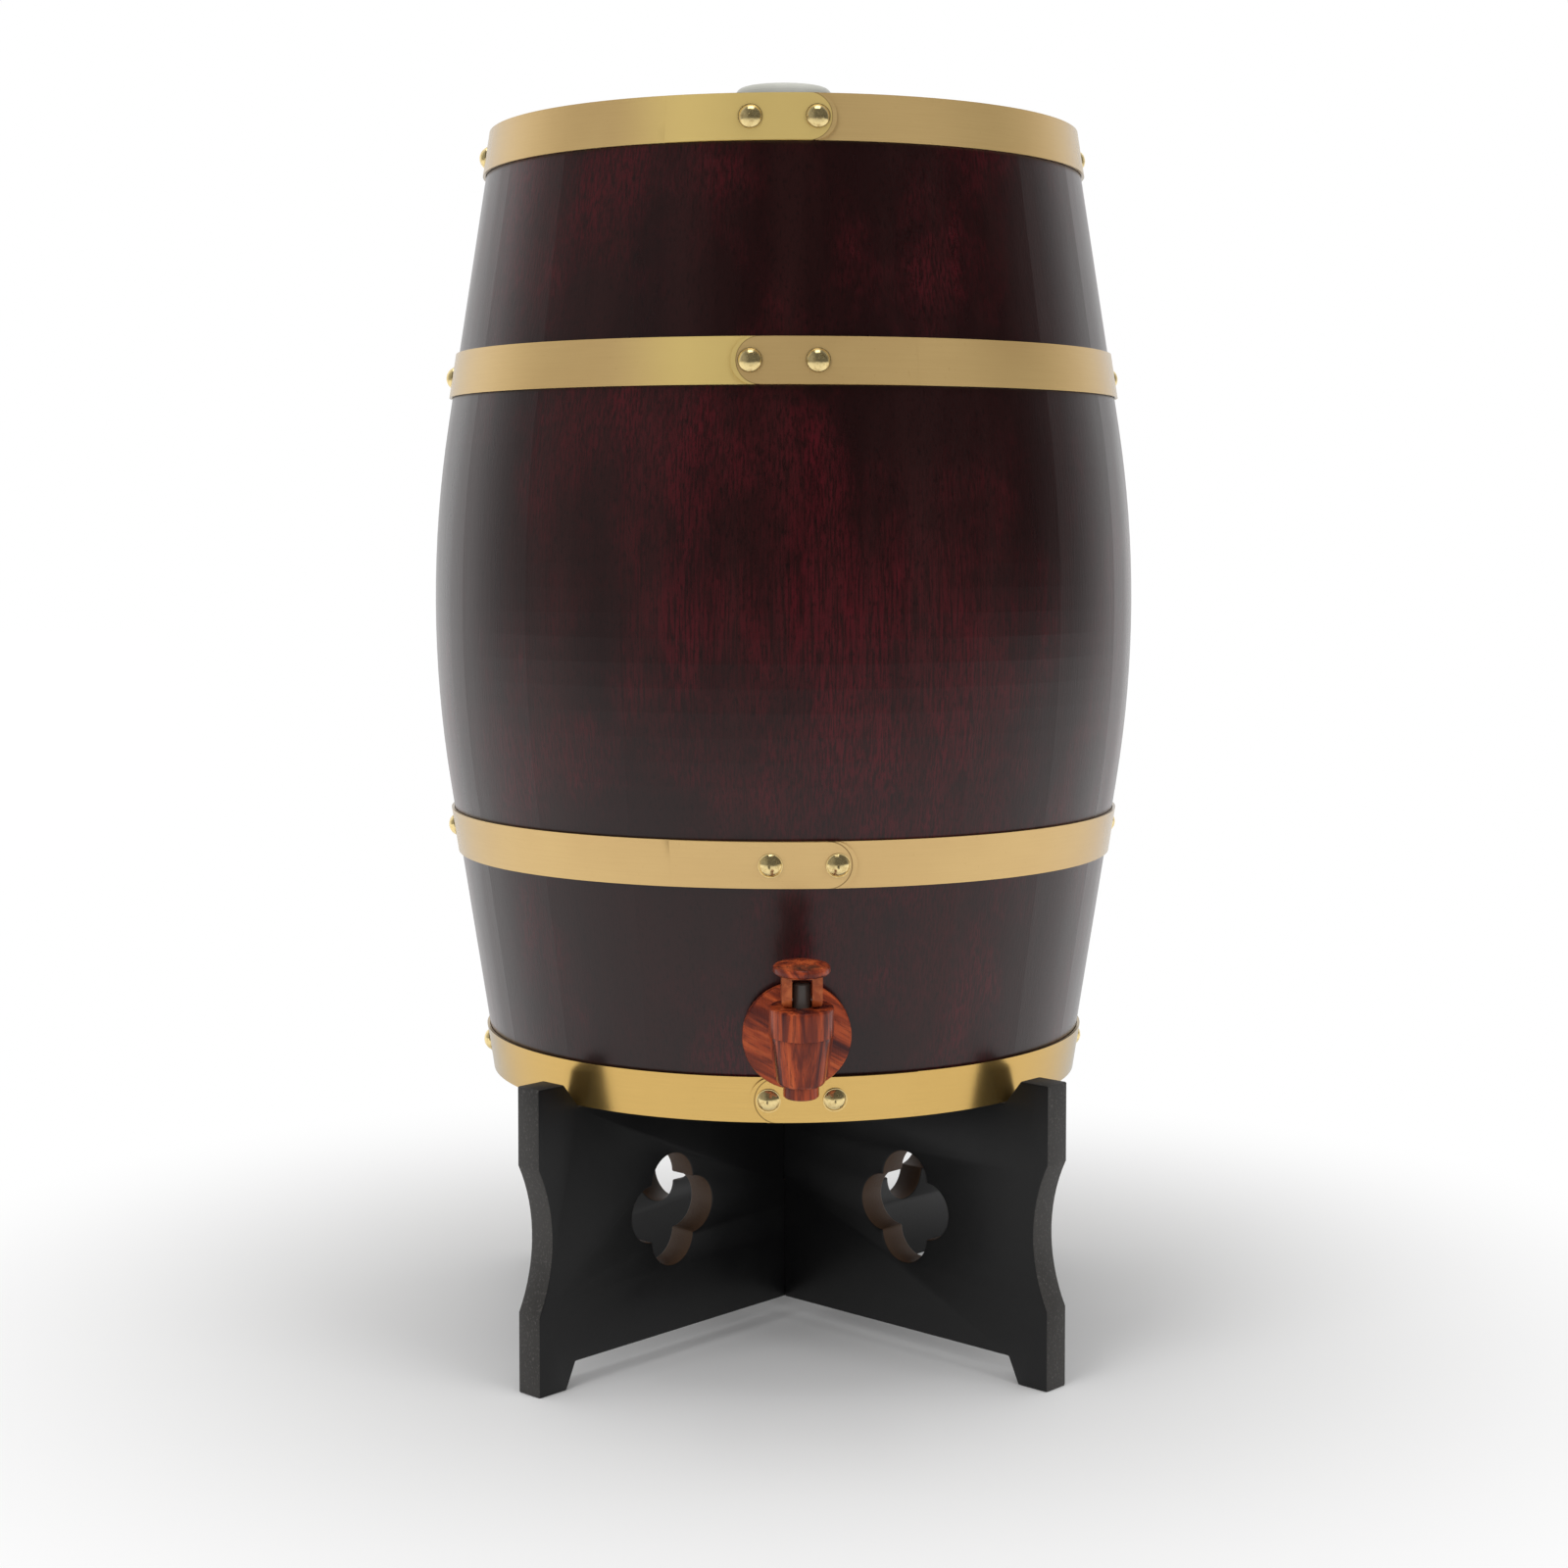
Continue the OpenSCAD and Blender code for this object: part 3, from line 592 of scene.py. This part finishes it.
def studio_floor():
    """A pale floor that fades to the white of the room away from the stand."""
    bm = bmesh.new()
    bmesh.ops.create_circle(bm, cap_ends=True, radius=floor_radius, segments=96)
    mesh = bpy.data.meshes.new("studio_floor")
    bm.to_mesh(mesh)
    bm.free()
    floor = bpy.data.objects.new("studio_floor", mesh)
    bpy.context.scene.collection.objects.link(floor)
    pale = Finish(
        "studio_floor",
        Base_Color=(0.88, 0.88, 0.88, 1),
        Roughness=0.9,
        Specular_IOR_Level=0.1,
    )
    path = pale.add("ShaderNodeLightPath", {}).outputs
    near_tone = pale.span(pale.axis(pale.coords(), "Y"), -2.2, 0.3, 0.08, 1.0)
    look = pale.add(
        "ShaderNodeVectorMath", {0: pale.coords()}, operation="NORMALIZE"
    ).outputs[0]
    far_tone = pale.plus(
        pale.span(pale.axis(look, "Y"), *back_gloss),
        pale.span(pale.axis(look, "X"), *left_gloss),
    )
    far = pale.length(pale.coords())
    tone = pale.add(
        "ShaderNodeMix", {0: pale.span(far, 1.0, 5.0), 2: near_tone, 3: far_tone}
    ).outputs[0]
    strength = pale.larger(tone, path["Is Camera Ray"])
    white = pale.add("ShaderNodeEmission", {"Color": (1, 1, 1), "Strength": strength})
    fade = pale.span(far, 0.14, 0.40)
    seen = pale.larger(path["Is Camera Ray"], path["Is Glossy Ray"])
    mix = pale.add(
        "ShaderNodeMixShader",
        {0: pale.times(fade, seen), 1: pale.shader.outputs[0], 2: white.outputs[0]},
    )
    output = pale.tree.nodes["Material Output"]
    pale.tree.links.new(mix.outputs[0], output.inputs["Surface"])
    mesh.materials.append(pale.material)


def studio_room():
    """White for the camera. In gloss it darkens towards the side that the tap faces."""
    world = bpy.data.worlds.new("studio_room")
    bpy.context.scene.world = world
    world.use_nodes = True
    tree = world.node_tree
    tree.nodes.clear()

    def add(kind, links, **settings):
        return add_node(tree, kind, links, **settings)

    look = add("ShaderNodeTexCoord", {}).outputs["Generated"]
    parts = add("ShaderNodeSeparateXYZ", {0: look}).outputs
    sides = [
        add(
            "ShaderNodeMapRange",
            {0: parts[axis], 1: low, 2: high, 3: to_low, 4: to_high},
            interpolation_type="SMOOTHSTEP",
        ).outputs[0]
        for axis, (low, high, to_low, to_high) in (("Y", back_gloss), ("X", left_gloss))
    ]
    seen = add(
        "ShaderNodeMath", {0: sides[0], 1: sides[1]}, operation="ADD", use_clamp=True
    ).outputs[0]
    path = add("ShaderNodeLightPath", {}).outputs
    straight = add(
        "ShaderNodeMath",
        {0: path["Is Camera Ray"], 1: path["Is Transmission Ray"]},
        operation="MAXIMUM",
    ).outputs[0]
    gloss = add("ShaderNodeMix", {0: path["Is Glossy Ray"], 2: 0.62, 3: seen}).outputs[0]
    strength = add("ShaderNodeMix", {0: straight, 2: gloss, 3: 1.0}).outputs[0]
    light = add("ShaderNodeBackground", {"Color": (1, 1, 1), "Strength": strength})
    output = add("ShaderNodeOutputWorld", {})
    tree.links.new(light.outputs[0], output.inputs["Surface"])


def soft_lamp(name, place, aim, size, power, in_gloss=True):
    data = bpy.data.lights.new(name, "AREA")
    data.shape = "RECTANGLE"
    data.size, data.size_y = size
    data.energy = power
    lamp = bpy.data.objects.new(name, data)
    lamp.location = place
    lamp.rotation_euler = (Vector(aim) - Vector(place)).to_track_quat("-Z", "Y").to_euler()
    lamp.visible_glossy = in_gloss
    bpy.context.scene.collection.objects.link(lamp)


studio_floor()
studio_room()
soft_lamp("key_lamp", (-1.3, -1.5, 1.7), (0, 0, 0.25), (1.2, 1.2), 16, in_gloss=False)
soft_lamp("fill_lamp", (1.5, -1.3, 1.0), (0, 0, 0.25), (1.2, 1.2), 9, in_gloss=False)
soft_lamp("top_lamp", (0, -0.1, 2.0), (0, 0, 0.2), (0.9, 0.9), 6)


# Camera at the photographed angle

look_down = math.radians(90 - 2.851)
look_across = math.radians(-2.21)

camera_data = bpy.data.cameras.new("camera")
camera_data.sensor_width = 36
camera_data.lens = 61.92
camera_data.shift_y = -0.0875
camera_data.clip_start = 0.05
camera = bpy.data.objects.new("camera", camera_data)
camera.location = (-0.0379, -0.9864, 0.2971)
camera.rotation_euler = (look_down, 0, look_across)
bpy.context.scene.collection.objects.link(camera)
bpy.context.scene.camera = camera
bpy.context.scene.view_settings.view_transform = "Standard"
